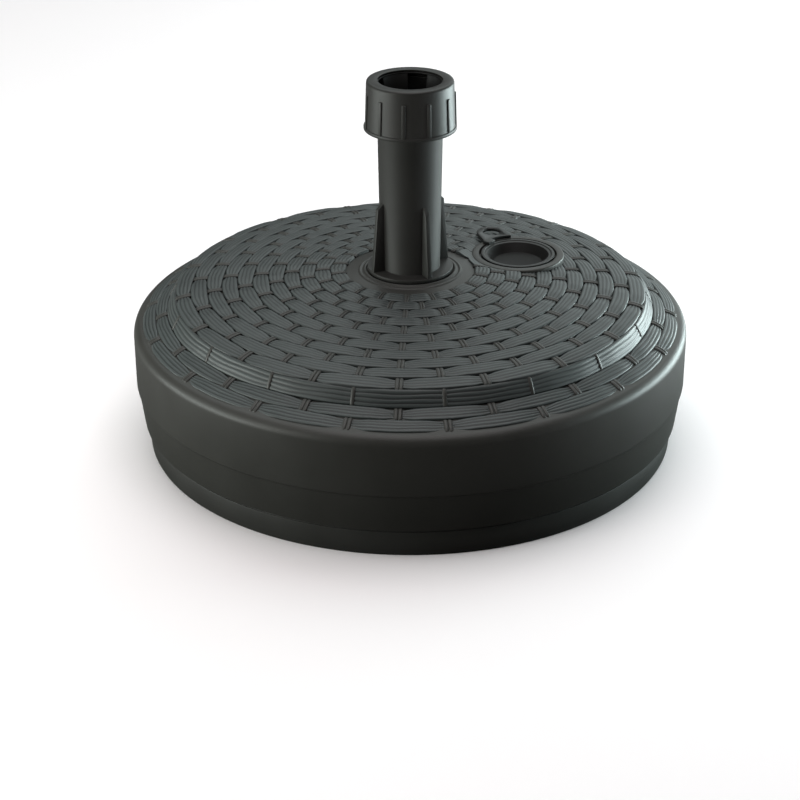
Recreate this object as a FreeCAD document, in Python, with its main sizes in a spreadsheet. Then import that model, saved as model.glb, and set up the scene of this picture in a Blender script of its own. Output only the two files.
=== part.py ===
import FreeCAD, Part
import os
from types import SimpleNamespace

import Sketcher
from FreeCAD import Placement, Rotation, Vector

os.makedirs("parts", exist_ok=True)
doc = FreeCAD.newDocument("parasol_base")

# A parasol base: a hollow ballast tank made of a woven-look cover over a shallow tub, a screw-in
# stand tube in its middle that takes the pole, a split collet and a ribbed nut that grip the pole,
# and a soft plug with a pull tab in the filler hole.
# The frame stands on the floor: +Z is up the pole, and the origin is on the floor under the pole.

# ------------------------------------------------------------------ driving dimensions, millimetres
DIMENSIONS = [
    # cover
    ("base_radius", 250.0, "outside of the cover's side wall"),
    ("seat_height", 156.6, "top of the flat seat under the stand tube's flange"),
    ("shell_wall", 3.5, "wall of the cover"),
    ("seat_margin", 7.5, "flat seat outside the stand tube's flange"),
    ("seat_ridge_width", 2.0, "each of the two ridges that ring the seat"),
    ("seat_ridge_rise", 0.9, "height of those ridges"),
    ("field_width", 12.0, "plain ring between the seat and the first woven row"),
    ("weave_rows", 11.0, "woven rows on the dome"),
    ("shoulder_inset", 39.0, "from the side wall in to the dome's shoulder"),
    ("dome_drop", 17.4, "fall of the dome from its first row to its shoulder"),
    ("row_crown", 1.5, "rise of a woven row above the valleys beside it"),
    ("strip_run", 7.75, "steep woven strip below the shoulder, outwards"),
    ("strip_drop", 13.2, "steep woven strip below the shoulder, downwards"),
    ("ledge_drop", 10.9, "fall of the two woven rows of the ledge"),
    ("rim_round", 9.0, "round edge between the ledge and the side wall"),
    ("side_step_height", 60.0, "faint step in the side wall"),
    ("side_step", 1.2, "depth of that step"),
    ("skirt_draft", 4.2, "inward taper of the side wall below the step"),
    ("skirt_height", 26.0, "lower edge of the side wall above the floor"),
    # filler boss, off to one side of the stand tube
    ("filler_x", 98.95, "centre of the filler hole"),
    ("filler_y", 42.2, "centre of the filler hole"),
    ("boss_drop", 1.6, "flat top of the boss ring below the seat"),
    ("boss_depth", 11.0, "thickness of the boss ring"),
    ("boss_wall", 6.8, "width of the boss ring"),
    ("boss_relief", 0.8, "cut round the boss where the dome stands higher"),
    ("plug_seat_width", 3.7, "ledge round the filler hole that carries the plug's rim"),
    ("counterbore_depth", 5.0, "depth of that recess"),
    ("throat_radius", 32.0, "clear filler hole"),
    ("throat_length", 12.0, "from the recess to the bottom of the filler neck"),
    ("neck_wall", 3.0, "wall of the filler neck inside the tank"),
    # tub
    ("tub_wall", 3.5, "wall and floor of the tub"),
    ("foot_height", 23.0, "visible height of the tub below the cover"),
    ("foot_inset", 3.1, "how far the tub stands in from the cover's lower edge"),
    ("foot_draft", 1.5, "taper of the tub's visible ring"),
    ("foot_round", 2.0, "round of the floor edge"),
    ("foot_width", 10.0, "flat ring that stands on the floor"),
    ("floor_lift", 4.0, "underside of the tub above the floor"),
    ("spigot_height", 52.0, "top of the tub's wall inside the cover"),
    ("spigot_gap", 0.7, "clearance between that wall and the cover's lower edge"),
    ("rim_seal_height", 38.0, "underside of the rim seal"),
    ("rim_seal_section", 4.0, "height of the rim seal"),
    ("rim_seal_groove", 1.6, "depth of its groove in the tub"),
    ("rib_count", 12.0, "stiffening ribs under the tub's floor"),
    ("rib_width", 3.0, "thickness of each rib"),
    ("rib_lift", 1.0, "rib edge above the floor"),
    ("drain_radius", 4.0, "drain hole in the bottom of the pole well"),
    ("well_wall", 4.2, "wall of the pole well"),
    ("well_floor", 8.0, "where the pole's end rests"),
    ("pole_seat_length", 46.0, "narrow part of the well that steadies the pole's end"),
    ("well_taper", 8.0, "height of the cone between the well's two bores"),
    ("well_collar", 4.4, "collar round the top of the well, under the seal"),
    ("well_seal_section", 1.2, "thickness of the seal on top of the well"),
    # pole, stand tube and their threads
    ("pole_radius", 24.0, "largest pole, 48 mm across"),
    ("pole_gap", 0.4, "clearance round the pole"),
    ("flange_reach", 14.1, "from the pole bore to the edge of the flange"),
    ("flange_thickness", 3.0, "thickness of the flange"),
    ("tube_seal_section", 1.0, "thickness of the seal under the flange"),
    ("seat_gap", 0.3, "clearance above and below that seal"),
    ("tube_foot_wall", 2.35, "wall of the tube just above the flange"),
    ("tube_head_wall", 4.3, "wall of the tube just under the nut"),
    ("tube_length", 165.6, "from the flange to the mouth of the tube"),
    ("barrel_wall", 3.6, "wall of the barrel below the flange"),
    ("barrel_length", 70.0, "barrel that screws into the well"),
    ("gusset_angle", 28.0, "direction of the first gusset"),
    ("gusset_count", 4.0, "gussets between the flange and the tube"),
    ("gusset_width", 4.5, "thickness of a gusset"),
    ("gusset_height", 58.0, "straight outer edge of a gusset"),
    ("gusset_top", 7.0, "sloping top of a gusset"),
    ("gusset_lean", 5.0, "how far the outer edge leans in"),
    ("stand_pitch", 6.0, "pitch of the barrel's thread"),
    ("stand_thread_length", 30.0, "length of the barrel's thread"),
    ("thread_depth", 1.8, "height of every thread ridge"),
    ("thread_gap", 0.6, "clearance between ridge tops and the wall they face"),
    # head of the tube, collet and nut
    ("head_wall", 7.4, "from the pole bore to the root of the head's thread"),
    ("head_length", 32.0, "threaded head of the tube"),
    ("mouth_depth", 28.0, "cone inside the head that squeezes the collet"),
    ("mouth_step", 2.8, "from the pole bore out to the small end of that cone"),
    ("mouth_spread", 2.6, "from the cone's small end out to its wide end"),
    ("mouth_gap", 0.5, "clearance between the cone and the open collet"),
    ("nut_pitch", 5.0, "pitch of the nut's thread"),
    ("nut_thread_length", 22.0, "length of the thread on the head"),
    ("collet_travel", 2.8, "room under the collet's flange for tightening"),
    ("collet_flange", 1.6, "thickness of the collet's flange"),
    ("collet_play", 0.2, "how far the open fingers stand back from the pole bore"),
    ("collet_grip_length", 12.0, "straight part of the fingers that grips the pole"),
    ("collet_flare", 3.4, "flare of the collet's top"),
    ("collet_tip_gap", 4.0, "room below the fingers"),
    ("slot_width", 17.0, "width of each slot between fingers"),
    ("slot_angle", -14.0, "direction of the first slot"),
    ("nut_gap", 0.3, "clearance between the collet and the nut's lip"),
    ("nut_lip", 1.8, "inward lip at the top of the nut"),
    ("nut_mouth_margin", 0.3, "from the collet's mouth to the hole in the nut's lip"),
    ("nut_wall", 3.9, "wall of the nut at its top"),
    ("nut_draft", 1.4, "how much wider the nut is above its lower band"),
    ("nut_height", 43.7, "height of the nut"),
    ("nut_band_rise", 1.2, "how far the band round the nut's lower edge stands out"),
    ("nut_band_height", 3.0, "height of that band"),
    ("nut_edge_round", 2.0, "round of the nut's upper edge"),
    ("grip_count", 11.0, "upright grip ribs on the nut"),
    ("grip_width", 3.3, "width of a grip rib"),
    ("grip_rise", 1.6, "how far a grip rib stands out"),
    ("grip_top_inset", 11.5, "from the nut's top down to the ribs"),
    # plug
    ("plug_gap", 0.3, "clearance round and under the plug"),
    ("plug_rim_gap", 2.0, "gap between the plug's rim and the boss"),
    ("plug_rim_rise", 0.2, "how far the plug's rim stands above the boss"),
    ("plug_rim_width", 2.6, "raised outer edge of the plug"),
    ("plug_step", 0.8, "step down inside that edge"),
    ("cup_wall", 3.4, "wall of the plug round its finger cup"),
    ("cup_draft", 5.8, "taper of the finger cup down to its floor"),
    ("cup_depth", 8.2, "depth of the finger cup"),
    ("plug_floor", 3.4, "thickness of the plug under the cup"),
    ("plug_nose", 3.2, "lead-in at the bottom of the plug"),
    ("tab_angle", 137.0, "direction of the pull tab's neck from the plug's centre"),
    ("neck_half", 4.4, "half the width of that neck"),
    ("tab_clearance", 0.9, "from the recess in the boss out to the tab's inner edge"),
    ("tab_thickness", 2.7, "thickness of the pull tab"),
    ("eye_along", 47.2, "middle of the eye, along the neck from the plug's centre"),
    ("eye_across", 17.6, "middle of the eye, to the right of the neck"),
    ("eye_outer_radius", 14.0, "outside of the eye"),
    ("eye_radius", 8.4, "hole of the eye"),
]

sheet = doc.addObject("Spreadsheet::Sheet", "sizes")
for row, (alias, number, note) in enumerate(DIMENSIONS, start=1):
    sheet.set(f"A{row}", alias)
    sheet.set(f"B{row}", str(number))
    sheet.set(f"C{row}", note)
    sheet.setAlias(f"B{row}", alias)
doc.recompute()


class Size:
    """A length that keeps its number together with the sheet expression it comes from."""

    def __init__(self, value, text):
        self.value = value
        self.text = text

    def __add__(self, other):
        other = as_size(other)
        return Size(self.value + other.value, f"({self.text} + {other.text})")

    def __sub__(self, other):
        other = as_size(other)
        return Size(self.value - other.value, f"({self.text} - {other.text})")

    def __mul__(self, other):
        other = as_size(other)
        return Size(self.value * other.value, f"({self.text} * {other.text})")

    def __truediv__(self, other):
        other = as_size(other)
        return Size(self.value / other.value, f"({self.text} / {other.text})")

    def __neg__(self):
        return Size(-self.value, f"(0 - {self.text})")

    def root(self):
        return Size(self.value ** 0.5, f"sqrt({self.text})")


def as_size(number):
    return number if isinstance(number, Size) else Size(float(number), f"{float(number):.6f}")


size = SimpleNamespace(
    **{alias: Size(float(sheet.get(alias)), f"sizes.{alias}") for alias, number, note in DIMENSIONS}
)


# ------------------------------------------------------------------ ways of making a feature
def add_body(label):
    body = doc.addObject("PartDesign::Body", label)
    body.Label = label
    return body


def origin_part(body, role):
    return next(part for part in body.Origin.OriginFeatures if part.Role == role)


def add_sketch(body, name, role="XZ_Plane", height=None, turn=None):
    """A sketch on one of the body's own planes, raised by height or turned about the pole axis."""
    sketch = body.newObject("Sketcher::SketchObject", name)
    sketch.AttachmentSupport = [(origin_part(body, role), "")]
    sketch.MapMode = "FlatFace"
    if height is not None:
        sketch.setExpression("AttachmentOffset.Base.z", height.text)
    if turn is not None:
        sketch.AttachmentOffset = Placement(Vector(), Rotation(Vector(0, 1, 0), turn.value))
        sketch.setExpression("AttachmentOffset.Rotation.Angle", turn.text)
    return sketch


def pin(sketch, geometry, end, x, y):
    """Tie one end of an edge to its two sizes; a size of zero ties it to the axis itself."""
    for kind, axis, coordinate in (("DistanceX", -2, as_size(x)), ("DistanceY", -1, as_size(y))):
        if coordinate.value == 0:
            sketch.addConstraint(Sketcher.Constraint("PointOnObject", geometry, end, axis))
        else:
            rule = Sketcher.Constraint(kind, -1, 1, geometry, end, coordinate.value)
            sketch.setExpression(f"Constraints[{sketch.addConstraint(rule)}]", coordinate.text)


def draw_outline(sketch, corners):
    """Close an outline through the corners; a third entry in a corner bends the edge that
    leaves it into an arc through that point."""
    points = [Vector(as_size(corner[0]).value, as_size(corner[1]).value, 0) for corner in corners]
    edges = []
    for corner, start, stop in zip(corners, points, points[1:] + points[:1]):
        if len(corner) == 3:
            through = Vector(as_size(corner[2][0]).value, as_size(corner[2][1]).value, 0)
            edge = sketch.addGeometry(Part.Arc(start, through, stop), False)
        else:
            edge = sketch.addGeometry(Part.LineSegment(start, stop), False)
        leads = sketch.getPoint(edge, 1).distanceToPoint(start) < 1e-6
        edges.append((edge, 1, 2) if leads else (edge, 2, 1))
    for (edge, first, last), (following, next_first, next_last) in zip(edges, edges[1:] + edges[:1]):
        sketch.addConstraint(Sketcher.Constraint("Coincident", edge, last, following, next_first))
    for corner, (edge, first, last) in zip(corners, edges):
        pin(sketch, edge, first, corner[0], corner[1])
        if len(corner) == 3:
            through = Vector(as_size(corner[2][0]).value, as_size(corner[2][1]).value, 0)
            mark = sketch.addGeometry(Part.Point(through), True)
            pin(sketch, mark, 1, *corner[2])
            sketch.addConstraint(Sketcher.Constraint("PointOnObject", mark, 1, edge))


def draw_circle(sketch, x, y, radius):
    centre = Vector(as_size(x).value, as_size(y).value, 0)
    circle = sketch.addGeometry(Part.Circle(centre, Vector(0, 0, 1), radius.value), False)
    pin(sketch, circle, 3, x, y)
    rule = sketch.addConstraint(Sketcher.Constraint("Radius", circle, radius.value))
    sketch.setExpression(f"Constraints[{rule}]", radius.text)


def revolve(body, name, corners):
    sketch = add_sketch(body, f"{name}_profile")
    draw_outline(sketch, corners)
    feature = body.newObject("PartDesign::Revolution", name)
    feature.Profile = sketch
    feature.ReferenceAxis = (sketch, ["V_Axis"])
    feature.Angle = 360.0
    return feature


def extrude(body, name, sketch, length, kind="Pad", both_sides=False, down=False):
    """Pad adds upwards and Pocket cuts downwards from the sketch, unless down says otherwise."""
    feature = body.newObject(f"PartDesign::{kind}", name)
    feature.Profile = sketch
    feature.setExpression("Length", length.text)
    feature.SideType = "Symmetric" if both_sides else "One side"
    feature.Reversed = down
    return feature


def repeat_round(body, name, feature, count):
    pattern = body.newObject("PartDesign::PolarPattern", name)
    pattern.Originals = [feature]
    pattern.Axis = (origin_part(body, "Z_Axis"), [""])
    pattern.Angle = 360.0
    pattern.setExpression("Occurrences", count.text)
    body.Tip = pattern
    return pattern


def add_thread(body, name, wall, rise, base, length, pitch):
    """One right-hand ridge on a round wall; a negative rise points it at the axis."""
    foot = pitch * 0.20
    crest = pitch * 0.10
    root = wall - (0.4 if rise.value > 0 else -0.4)
    sketch = add_sketch(body, f"{name}_section")
    draw_outline(sketch, [
        (root, base - foot), (wall + rise, base - crest), (wall + rise, base + crest), (root, base + foot),
    ])
    ridge = body.newObject("PartDesign::AdditiveHelix", name)
    ridge.Profile = sketch
    ridge.ReferenceAxis = (sketch, ["V_Axis"])
    ridge.Mode = "pitch-height-angle"
    ridge.setExpression("Pitch", pitch.text)
    ridge.setExpression("Height", length.text)
    ridge.LeftHanded = False
    return ridge


# ------------------------------------------------------------------ levels and radii shared by the pieces
bore_radius = size.pole_radius + size.pole_gap
barrel_radius = bore_radius + size.barrel_wall
tube_foot_radius = bore_radius + size.tube_foot_wall
tube_head_radius = bore_radius + size.tube_head_wall
flange_radius = bore_radius + size.flange_reach
head_radius = bore_radius + size.head_wall
mouth_floor_radius = bore_radius + size.mouth_step
mouth_top_radius = mouth_floor_radius + size.mouth_spread
collet_grip_radius = bore_radius + size.collet_play
collet_mouth_radius = collet_grip_radius + size.collet_flare
nut_mouth_radius = collet_mouth_radius + size.nut_mouth_margin
barrel_crest = barrel_radius + size.thread_depth
well_bore = barrel_crest + size.thread_gap
well_outer = well_bore + size.well_wall
seat_hole = barrel_crest + size.thread_gap + 0.2
seat_underside = size.seat_height - size.shell_wall
well_top = seat_underside - size.well_seal_section
flange_bottom = size.seat_height + size.tube_seal_section + size.seat_gap * 2
flange_top = flange_bottom + size.flange_thickness
barrel_bottom = flange_bottom - size.barrel_length
mouth_top = flange_top + size.tube_length
head_crest = head_radius + size.thread_depth
nut_bore = head_crest + size.thread_gap
nut_top_radius = nut_bore + size.nut_wall
nut_foot_radius = nut_top_radius + size.nut_draft
nut_band_radius = nut_foot_radius + size.nut_band_rise
seat_radius = flange_radius + size.seat_margin
weave_inner_radius = seat_radius + size.field_width
counterbore_radius = size.throat_radius + size.plug_seat_width
boss_height = size.seat_height - size.boss_drop
collet_bottom_of_flange = mouth_top + size.collet_travel
collet_top = collet_bottom_of_flange + size.collet_flange
nut_ceiling = collet_top + size.nut_gap
nut_top = nut_ceiling + size.nut_lip
nut_bottom = nut_top - size.nut_height
mouth_floor = mouth_top - size.mouth_depth
skirt_edge_radius = size.base_radius - size.side_step - size.skirt_draft
skirt_inner_edge = skirt_edge_radius - size.shell_wall
foot_radius = skirt_edge_radius - size.foot_inset
spigot_radius = skirt_inner_edge - size.spigot_gap
shoulder_radius = size.base_radius - size.shoulder_inset
strip_foot_radius = shoulder_radius + size.strip_run
ledge_end_radius = size.base_radius - size.rim_round
shoulder_height = size.seat_height - size.dome_drop
strip_foot_height = shoulder_height - size.strip_drop
ledge_end_height = strip_foot_height - size.ledge_drop
rim_bottom = ledge_end_height - size.rim_round
barrel_thread_base = barrel_bottom + 8.0
head_thread_base = mouth_top - size.nut_thread_length - 5.0


def skirt_inside(height):
    """Inside radius of the cover's tapered lower wall at a height above the floor."""
    slope = size.skirt_draft / (size.side_step_height - size.skirt_height)
    return skirt_inner_edge + (height - size.skirt_height) * slope


def crown(start, stop):
    """The top of a woven row between two valleys."""
    return ((start[0] + stop[0]) / 2, (start[1] + stop[1]) / 2 + size.row_crown)


# ------------------------------------------------------------------ cover: dome, side wall and filler boss
# The dome's outside is a run of crowned rows between valleys that sink slowly towards the shoulder
# and faster over the last row. Its inside follows the valleys one wall below.
row_total = int(size.weave_rows.value)
valleys = []
for index in range(row_total + 1):
    share = index / row_total
    fall = 0.83 * share + 0.17 * share ** 12
    across = (shoulder_radius - weave_inner_radius) * share
    valleys.append((weave_inner_radius + across, size.seat_height - size.dome_drop * fall))
ledge_middle = ((strip_foot_radius + ledge_end_radius) / 2, (strip_foot_height + ledge_end_height) / 2)
ridge_two = seat_radius - size.seat_ridge_width
ridge_one = ridge_two - size.seat_ridge_width * 1.5
field_start = seat_radius + size.seat_ridge_width
ridge_crest = size.seat_height + size.seat_ridge_rise

outside = [
    (seat_hole, size.seat_height),
    (ridge_one, size.seat_height, (ridge_one + size.seat_ridge_width / 2, ridge_crest)),
    (ridge_one + size.seat_ridge_width, size.seat_height),
    (ridge_two, size.seat_height, (ridge_two + size.seat_ridge_width / 2, ridge_crest)),
    (seat_radius, size.seat_height),
    (field_start, size.seat_height - 0.6),
    (weave_inner_radius - 1.0, size.seat_height - 0.6),
]
for start, stop in zip(valleys, valleys[1:]):
    outside.append((*start, crown(start, stop)))
outside += [
    (shoulder_radius, shoulder_height),
    (strip_foot_radius, strip_foot_height, crown((strip_foot_radius, strip_foot_height), ledge_middle)),
    (*ledge_middle, crown(ledge_middle, (ledge_end_radius, ledge_end_height))),
    (ledge_end_radius, ledge_end_height,
     (size.base_radius - size.rim_round * 0.29, ledge_end_height - size.rim_round * 0.29)),
    (size.base_radius, rim_bottom),
    (size.base_radius, size.side_step_height + size.side_step),
    (size.base_radius - size.side_step, size.side_step_height),
    (skirt_edge_radius, size.skirt_height),
]
inside = [
    (skirt_inner_edge, size.skirt_height),
    (skirt_inside(size.side_step_height), size.side_step_height),
    (size.base_radius - size.shell_wall, size.side_step_height + size.side_step),
    (size.base_radius - size.shell_wall, rim_bottom),
    (ledge_end_radius - size.shell_wall * 0.3, ledge_end_height - size.shell_wall),
    (strip_foot_radius - size.shell_wall * 0.6, strip_foot_height - size.shell_wall),
    (shoulder_radius - size.shell_wall * 0.6, shoulder_height - size.shell_wall),
]
inside += [(radius, height - size.shell_wall) for radius, height in reversed(valleys[:-1])]
inside.append((seat_hole, seat_underside))

cover_shell = add_body("cover_shell")
revolve(cover_shell, "cover_dome", outside + inside)

boss_radius = counterbore_radius + size.boss_wall
boss_underside = boss_height - size.boss_depth
counterbore_floor = boss_height - size.counterbore_depth
neck_bottom = counterbore_floor - size.throat_length


def cover_circle(name, radius, height):
    sketch = add_sketch(cover_shell, name, "XY_Plane", height)
    draw_circle(sketch, size.filler_x, size.filler_y, radius)
    return sketch


extrude(cover_shell, "boss_ring", cover_circle("boss_ring_circle", boss_radius, boss_underside),
        size.boss_depth)
extrude(cover_shell, "filler_neck",
        cover_circle("filler_neck_circle", size.throat_radius + size.neck_wall, neck_bottom),
        size.boss_depth)
extrude(cover_shell, "boss_clearing",
        cover_circle("boss_clearing_circle", boss_radius + size.boss_relief, boss_height),
        size.boss_depth, "Pocket", down=True)
extrude(cover_shell, "plug_recess",
        cover_circle("plug_recess_circle", counterbore_radius, counterbore_floor),
        size.boss_depth, "Pocket", down=True)
extrude(cover_shell, "filler_hole",
        cover_circle("filler_hole_circle", size.throat_radius, neck_bottom - size.neck_wall),
        size.throat_length + size.boss_depth, "Pocket", down=True)

# ------------------------------------------------------------------ tub: floor ring, inner wall and pole well
well_narrow = bore_radius + size.pole_gap
pole_seat_top = size.well_floor + size.pole_seat_length
floor_top = size.floor_lift + size.tub_wall
seal_top = size.rim_seal_height + size.rim_seal_section
groove_floor = spigot_radius - size.rim_seal_groove
standing_edge = foot_radius - size.foot_draft - size.foot_round

tub_shell = add_body("tub_shell")
revolve(tub_shell, "tub_pan", [
    (size.drain_radius, size.floor_lift),
    (standing_edge - size.foot_width, size.floor_lift),
    (standing_edge - size.foot_width, 0),
    (standing_edge, 0, (standing_edge + size.foot_round * 0.71, size.foot_round * 0.29)),
    (standing_edge + size.foot_round, size.foot_round),
    (foot_radius, size.foot_height),
    (spigot_radius, size.foot_height),
    (spigot_radius, size.rim_seal_height),
    (groove_floor, size.rim_seal_height),
    (groove_floor, seal_top),
    (spigot_radius, seal_top),
    (spigot_radius, size.spigot_height - 1.5),
    (spigot_radius - 1.0, size.spigot_height),
    (spigot_radius - size.tub_wall, size.spigot_height),
    (spigot_radius - size.tub_wall, floor_top),
    (well_narrow + size.well_wall, floor_top),
    (well_narrow + size.well_wall, pole_seat_top),
    (well_outer, pole_seat_top + size.well_taper),
    (well_outer, well_top - size.well_collar * 2),
    (well_outer + size.well_collar, well_top - size.well_collar),
    (well_outer + size.well_collar, well_top),
    (well_bore, well_top),
    (well_bore, pole_seat_top + size.well_taper),
    (well_narrow, pole_seat_top),
    (well_narrow, size.well_floor),
    (size.drain_radius, size.well_floor),
])
rib_sketch = add_sketch(tub_shell, "floor_rib_outline")
draw_outline(rib_sketch, [
    (well_outer, size.rib_lift),
    (standing_edge - size.foot_width + 1.0, size.rib_lift),
    (standing_edge - size.foot_width + 1.0, size.floor_lift + 1.0),
    (well_outer, size.floor_lift + 1.0),
])
floor_rib = extrude(tub_shell, "floor_rib", rib_sketch, size.rib_width, both_sides=True)
repeat_round(tub_shell, "floor_ribs", floor_rib, size.rib_count)
add_thread(tub_shell, "well_thread", well_bore, -size.thread_depth,
           barrel_thread_base + size.stand_pitch * 0.5, size.stand_thread_length, size.stand_pitch)

# ------------------------------------------------------------------ seals between the two shells
rim_seal = add_body("rim_seal")
revolve(rim_seal, "rim_seal_ring", [
    (groove_floor, size.rim_seal_height),
    (skirt_inside(size.rim_seal_height), size.rim_seal_height),
    (skirt_inside(seal_top), seal_top),
    (groove_floor, seal_top),
])
well_seal = add_body("well_seal")
revolve(well_seal, "well_seal_ring", [
    (well_bore + 0.4, well_top),
    (well_outer + size.well_collar, well_top),
    (well_outer + size.well_collar, seat_underside),
    (well_bore + 0.4, seat_underside),
])

# ------------------------------------------------------------------ seal under the stand tube's flange
tube_seal_bottom = size.seat_height + size.seat_gap
tube_seal = add_body("tube_seal")
revolve(tube_seal, "tube_seal_ring", [
    (seat_hole + 0.4, tube_seal_bottom),
    (flange_radius - 0.6, tube_seal_bottom),
    (flange_radius - 0.6, tube_seal_bottom + size.tube_seal_section),
    (seat_hole + 0.4, tube_seal_bottom + size.tube_seal_section),
])

# ------------------------------------------------------------------ stand tube: barrel, flange, tube and head
head_bottom = mouth_top - size.head_length
head_step = head_radius - tube_head_radius
stand_tube = add_body("stand_tube")
revolve(stand_tube, "tube_turned", [
    (bore_radius, barrel_bottom),
    (barrel_radius - 1.0, barrel_bottom),
    (barrel_radius, barrel_bottom + 1.0),
    (barrel_radius, flange_bottom),
    (flange_radius, flange_bottom),
    (flange_radius, flange_top - 0.8),
    (flange_radius - 0.8, flange_top),
    (tube_foot_radius, flange_top),
    (tube_head_radius, head_bottom - head_step),
    (head_radius, head_bottom),
    (head_radius, mouth_top - 1.0),
    (head_radius - 1.0, mouth_top),
    (mouth_top_radius, mouth_top),
    (mouth_floor_radius, mouth_floor),
    (bore_radius, mouth_floor),
])
gusset_sketch = add_sketch(stand_tube, "gusset_outline", turn=size.gusset_angle)
gusset_root = bore_radius + (tube_foot_radius - bore_radius) / 2
draw_outline(gusset_sketch, [
    (gusset_root, flange_top - 0.5),
    (flange_radius, flange_top - 0.8),
    (flange_radius - size.gusset_lean, flange_top + size.gusset_height),
    (gusset_root, flange_top + size.gusset_height + size.gusset_top),
])
gusset = extrude(stand_tube, "gusset", gusset_sketch, size.gusset_width, both_sides=True)
repeat_round(stand_tube, "gussets", gusset, size.gusset_count)
add_thread(stand_tube, "barrel_thread", barrel_radius, size.thread_depth, barrel_thread_base,
           size.stand_thread_length, size.stand_pitch)
add_thread(stand_tube, "head_thread", head_radius, size.thread_depth, head_thread_base,
           size.nut_thread_length, size.nut_pitch)

# ------------------------------------------------------------------ collet: a ring with four fingers
mouth_slope = (mouth_top_radius - mouth_floor_radius) / size.mouth_depth
finger_tip = mouth_floor + size.collet_tip_gap
finger_tip_radius = mouth_floor_radius + mouth_slope * size.collet_tip_gap - size.mouth_gap
finger_root_radius = mouth_top_radius + mouth_slope * size.collet_travel - size.mouth_gap
clamp_collet = add_body("clamp_collet")
revolve(clamp_collet, "collet_turned", [
    (collet_grip_radius, finger_tip),
    (finger_tip_radius, finger_tip),
    (finger_root_radius, collet_bottom_of_flange),
    (head_crest - 0.2, collet_bottom_of_flange),
    (head_crest - 0.2, collet_top),
    (collet_mouth_radius + 0.6, collet_top),
    (collet_mouth_radius, collet_top - 0.8),
    (collet_grip_radius, finger_tip + size.collet_grip_length),
])
slot_sketch = add_sketch(clamp_collet, "slot_outline", "YZ_Plane")
draw_outline(slot_sketch, [
    (-size.slot_width / 2, finger_tip - 1.0),
    (size.slot_width / 2, finger_tip - 1.0),
    (size.slot_width / 2, collet_bottom_of_flange),
    (-size.slot_width / 2, collet_bottom_of_flange),
])
slot = extrude(clamp_collet, "slot", slot_sketch, head_crest, "Pocket")
repeat_round(clamp_collet, "slots", slot, as_size(4))
clamp_collet.Placement = Placement(Vector(), Rotation(Vector(0, 0, 1), size.slot_angle.value))
clamp_collet.setExpression("Placement.Rotation.Angle", size.slot_angle.text)

# ------------------------------------------------------------------ clamp nut
clamp_nut = add_body("clamp_nut")
band_top = nut_bottom + size.nut_band_height
revolve(clamp_nut, "nut_turned", [
    (nut_bore, nut_bottom),
    (nut_band_radius, nut_bottom),
    (nut_band_radius, band_top),
    (nut_foot_radius, band_top),
    (nut_top_radius, nut_top - size.nut_edge_round,
     (nut_top_radius - size.nut_edge_round * 0.29, nut_top - size.nut_edge_round * 0.29)),
    (nut_top_radius - size.nut_edge_round, nut_top),
    (nut_mouth_radius + 0.8, nut_top),
    (nut_mouth_radius, nut_top - 0.8),
    (nut_mouth_radius, nut_ceiling),
    (nut_bore, nut_ceiling),
])
grip_top = nut_top - size.grip_top_inset
grip_foot = nut_band_radius - 0.1
grip_head = nut_top_radius + size.grip_rise
grip_sketch = add_sketch(clamp_nut, "grip_outline")
draw_outline(grip_sketch, [
    (nut_top_radius - 2.0, band_top - 0.5),
    (grip_foot, band_top - 0.5),
    (grip_head, grip_top - size.grip_rise),
    (nut_top_radius - 2.0, grip_top + 1.0),
])
grip = extrude(clamp_nut, "grip", grip_sketch, size.grip_width, both_sides=True)
repeat_round(clamp_nut, "grips", grip, size.grip_count)
add_thread(clamp_nut, "nut_thread", nut_bore, -size.thread_depth,
           head_thread_base + size.nut_pitch * 0.5 - size.nut_pitch, size.nut_thread_length, size.nut_pitch)

# ------------------------------------------------------------------ filler plug with its pull tab
plug_rim_radius = counterbore_radius - size.plug_rim_gap
plug_radius = size.throat_radius - size.plug_gap
plug_top = boss_height + size.plug_rim_rise
cup_radius = plug_radius - size.cup_wall
cup_floor_radius = cup_radius - size.cup_draft
rim_bottom_of_plug = counterbore_floor + size.plug_gap
cup_floor = plug_top - size.plug_step - size.cup_depth
plug_bottom = cup_floor - size.plug_floor
filler_plug = add_body("filler_plug")
revolve(filler_plug, "plug_turned", [
    (0, plug_bottom),
    (plug_radius - size.plug_nose, plug_bottom),
    (plug_radius, plug_bottom + size.plug_nose),
    (plug_radius, rim_bottom_of_plug),
    (plug_rim_radius, rim_bottom_of_plug),
    (plug_rim_radius, plug_top - 0.8),
    (plug_rim_radius - 0.8, plug_top),
    (plug_rim_radius - size.plug_rim_width, plug_top),
    (plug_rim_radius - size.plug_rim_width - 0.4, plug_top - size.plug_step),
    (cup_radius, plug_top - size.plug_step),
    (cup_floor_radius, cup_floor),
    (0, cup_floor),
])
# The tab is a flat paddle behind the recess, joined to the rim by one narrow neck at its end.
tab_bottom = boss_height + size.plug_gap
tab_top = tab_bottom + size.tab_thickness
tab_inner = counterbore_radius + size.tab_clearance
neck_start = plug_rim_radius - size.plug_rim_width + 0.3
root_outer = (plug_rim_radius * plug_rim_radius - size.neck_half * size.neck_half).root() - 0.1
root_sketch = add_sketch(filler_plug, "tab_root_outline", "XY_Plane", plug_top - 2.0)
draw_outline(root_sketch, [
    (neck_start, -size.neck_half), (root_outer, -size.neck_half),
    (root_outer, size.neck_half), (neck_start, size.neck_half),
])
extrude(filler_plug, "tab_root", root_sketch, tab_top - plug_top + 2.0)
neck_sketch = add_sketch(filler_plug, "tab_neck_outline", "XY_Plane", tab_bottom)
draw_outline(neck_sketch, [
    (neck_start, -size.neck_half), (tab_inner + 2.0, -size.neck_half),
    (tab_inner + 2.0, size.neck_half), (neck_start, size.neck_half),
])
extrude(filler_plug, "tab_neck", neck_sketch, size.tab_thickness)


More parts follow.
